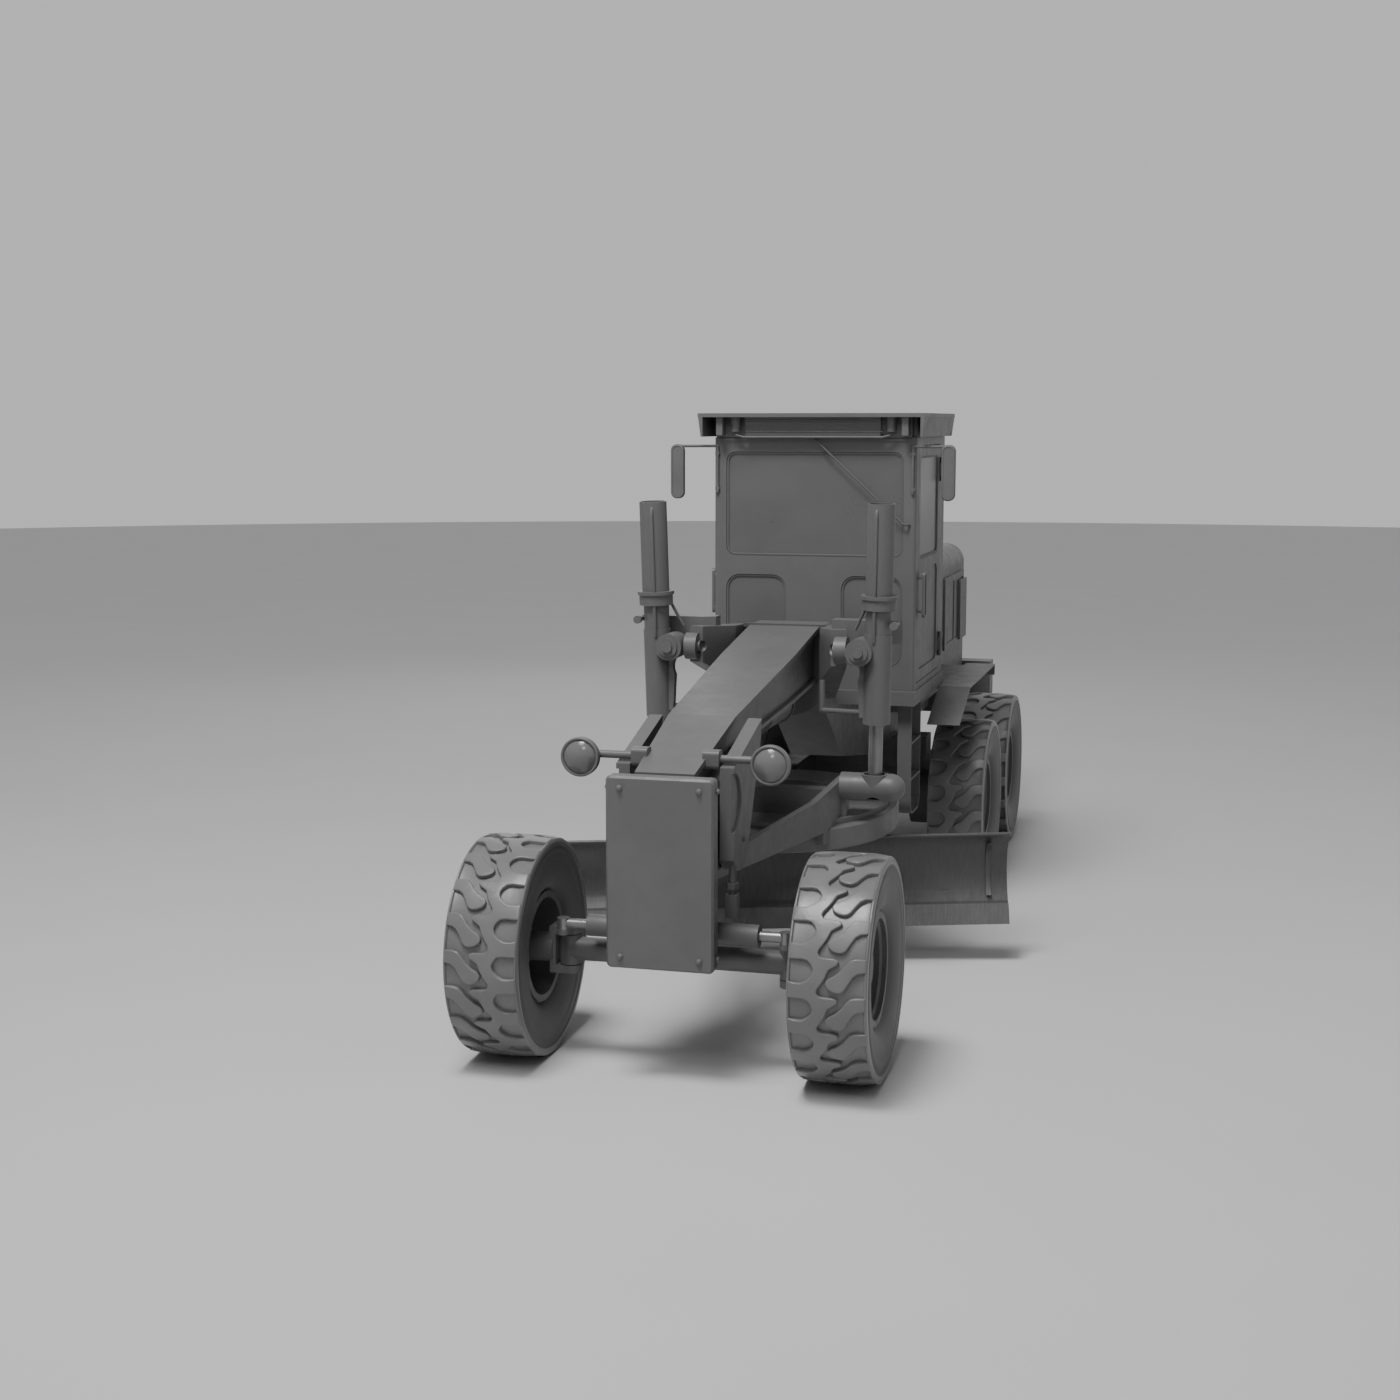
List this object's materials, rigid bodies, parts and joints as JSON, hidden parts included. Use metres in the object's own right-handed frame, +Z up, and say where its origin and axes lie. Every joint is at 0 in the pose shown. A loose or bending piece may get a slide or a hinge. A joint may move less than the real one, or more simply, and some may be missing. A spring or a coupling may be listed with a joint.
{
  "type": "motor grader",
  "caption": "Wheeled road grader: long front beam, slanted blade under a turning ring, upright lift cylinders, cab with doors, engine hood, steered front wheels and tandem rear wheels.",
  "frame": {"origin": "on the ground under the middle of the whole machine's outline", "axes": "+Z up, -Y towards the front of the machine, +X towards the machine's left side"},
  "size_m": [3.015, 8.6622, 3.652],
  "materials": {
    "paint": "even mid grey satin paint with small glossy spots",
    "tyre": "matt grey rubber",
    "glass": null,
    "bright_steel": "ground rod",
    "cast": "rough cast, grey",
    "wear_steel": "worn steel, grey",
    "plastic": "matt",
    "seat_cover": "matt woven cover"
  },
  "bodies": {
    "chassis": {"front_axle": "cast", "head": "paint", "front_plate": "paint", "lamp_left": "paint", "lamp_right": "paint", "beam": "paint", "lift_frame": "paint", "cab_floor": "paint", "cab_front": "paint", "front_panes": "glass", "cab_rear": "paint", "rear_pane": "glass", "cab_side_left": "paint", "cab_side_right": "paint", "roof": "paint", "seat": "seat_cover", "console": "plastic", "mirror_left": "plastic", "mirror_right": "plastic", "hood": "paint", "grille": "paint", "engine": "cast", "exhaust": "cast", "rear_frame": "paint", "tandem_case_left": "paint", "tandem_case_right": "paint", "fender_left": "paint", "fender_right": "paint", "ladder_left": "paint", "ladder_right": "paint"},
    "knuckle_left": {"knuckle_left": "cast"},
    "wheel_front_left": {"tyre_front_left": "tyre", "rim_front_left": "paint"},
    "wheel_middle_left": {"tyre_middle_left": "tyre", "rim_middle_left": "paint"},
    "wheel_rear_left": {"tyre_rear_left": "tyre", "rim_rear_left": "paint"},
    "steer_rod_left": {"steer_rod_left": "bright_steel"},
    "lift_barrel_left": {"lift_barrel_left": "paint"},
    "lift_rod_left": {"lift_rod_left": "bright_steel"},
    "door_left": {"cab_door_left": "paint", "door_pane_left": "glass"},
    "knuckle_right": {"knuckle_right": "cast"},
    "wheel_front_right": {"tyre_front_right": "tyre", "rim_front_right": "paint"},
    "wheel_middle_right": {"tyre_middle_right": "tyre", "rim_middle_right": "paint"},
    "wheel_rear_right": {"tyre_rear_right": "tyre", "rim_rear_right": "paint"},
    "steer_rod_right": {"steer_rod_right": "bright_steel"},
    "lift_barrel_right": {"lift_barrel_right": "paint"},
    "lift_rod_right": {"lift_rod_right": "bright_steel"},
    "door_right": {"cab_door_right": "paint", "door_pane_right": "glass"},
    "drawbar": {"drawbar": "paint"},
    "circle": {"circle": "wear_steel"},
    "blade": {"moldboard": "paint", "cutting_edge": "wear_steel"}
  },
  "joints": [
    {"name": "steer_left", "type": "hinge", "parent": "chassis", "child": "knuckle_left", "pos_m": [0.64, -3.7, 0.63], "axis": [0, 0, 1], "range_deg": [-40, 40]},
    {"name": "steer_right", "type": "hinge", "parent": "chassis", "child": "knuckle_right", "pos_m": [-0.64, -3.7, 0.63], "axis": [0, 0, 1], "range_deg": [-40, 40]},
    {"name": "wheel_front_left_spin", "type": "hinge", "parent": "knuckle_left", "child": "wheel_front_left", "pos_m": [0.96, -3.7, 0.63], "axis": [1, 0, 0], "continuous": true},
    {"name": "wheel_middle_left_spin", "type": "hinge", "parent": "chassis", "child": "wheel_middle_left", "pos_m": [0.885, 1.55, 0.63], "axis": [1, 0, 0], "continuous": true},
    {"name": "wheel_rear_left_spin", "type": "hinge", "parent": "chassis", "child": "wheel_rear_left", "pos_m": [0.885, 3.1, 0.63], "axis": [1, 0, 0], "continuous": true},
    {"name": "steer_rod_left_slide", "type": "slide", "parent": "chassis", "child": "steer_rod_left", "axis": [1, 0, 0], "range_m": [-0.095, 0.095]},
    {"name": "wheel_front_right_spin", "type": "hinge", "parent": "knuckle_right", "child": "wheel_front_right", "pos_m": [-0.96, -3.7, 0.63], "axis": [1, 0, 0], "continuous": true},
    {"name": "wheel_middle_right_spin", "type": "hinge", "parent": "chassis", "child": "wheel_middle_right", "pos_m": [-0.885, 1.55, 0.63], "axis": [1, 0, 0], "continuous": true},
    {"name": "wheel_rear_right_spin", "type": "hinge", "parent": "chassis", "child": "wheel_rear_right", "pos_m": [-0.885, 3.1, 0.63], "axis": [1, 0, 0], "continuous": true},
    {"name": "steer_rod_right_slide", "type": "slide", "parent": "chassis", "child": "steer_rod_right", "axis": [-1, 0, 0], "range_m": [-0.095, 0.095]},
    {"name": "drawbar_pitch", "type": "hinge", "parent": "chassis", "child": "drawbar", "pos_m": [0, -3.64, 1.04], "axis": [1, 0, 0], "range_deg": [-5, 5]},
    {"name": "lift_barrel_left_swing", "type": "hinge", "parent": "chassis", "child": "lift_barrel_left", "pos_m": [0.733, -1.626, 2.138], "axis": [1, 0, 0], "range_deg": [-1.5, 1.5]},
    {"name": "lift_rod_left_slide", "type": "slide", "parent": "lift_barrel_left", "child": "lift_rod_left", "axis": [-0.0199, 0.0405, -0.999], "range_m": [-0.185, 0.185]},
    {"name": "lift_barrel_right_swing", "type": "hinge", "parent": "chassis", "child": "lift_barrel_right", "pos_m": [-0.733, -1.626, 2.138], "axis": [1, 0, 0], "range_deg": [-1.5, 1.5]},
    {"name": "lift_rod_right_slide", "type": "slide", "parent": "lift_barrel_right", "child": "lift_rod_right", "axis": [0.0199, 0.0405, -0.999], "range_m": [-0.185, 0.185]},
    {"name": "circle_turn", "type": "hinge", "parent": "drawbar", "child": "circle", "pos_m": [0, -1.15, 1.05], "axis": [0, -0.0698, 0.9976], "range_deg": [-60, 30]},
    {"name": "blade_shift", "type": "slide", "parent": "circle", "child": "blade", "axis": [0.9636, 0.2666, 0.0186], "range_m": [-0.4, 0.4]},
    {"name": "door_left_swing", "type": "hinge", "parent": "chassis", "child": "door_left", "pos_m": [0.75, 0.94, 2.58], "axis": [0, 0, 1], "range_deg": [0, 100]},
    {"name": "door_right_swing", "type": "hinge", "parent": "chassis", "child": "door_right", "pos_m": [-0.75, 0.94, 2.58], "axis": [0, 0, -1], "range_deg": [0, 100]}
  ],
  "couplings": [
    {"joint": "steer_right", "follows": "steer_left", "ratio": 1},
    {"joint": "steer_rod_left_slide", "follows": "steer_left", "m_per_rad": 0.13},
    {"joint": "steer_rod_right_slide", "follows": "steer_left", "m_per_rad": -0.13},
    {"joint": "lift_barrel_left_swing", "follows": "drawbar_pitch", "ratio": -0.1426},
    {"joint": "lift_rod_left_slide", "follows": "drawbar_pitch", "m_per_rad": -2.06},
    {"joint": "lift_barrel_right_swing", "follows": "drawbar_pitch", "ratio": -0.1426},
    {"joint": "lift_rod_right_slide", "follows": "drawbar_pitch", "m_per_rad": -2.06}
  ]
}
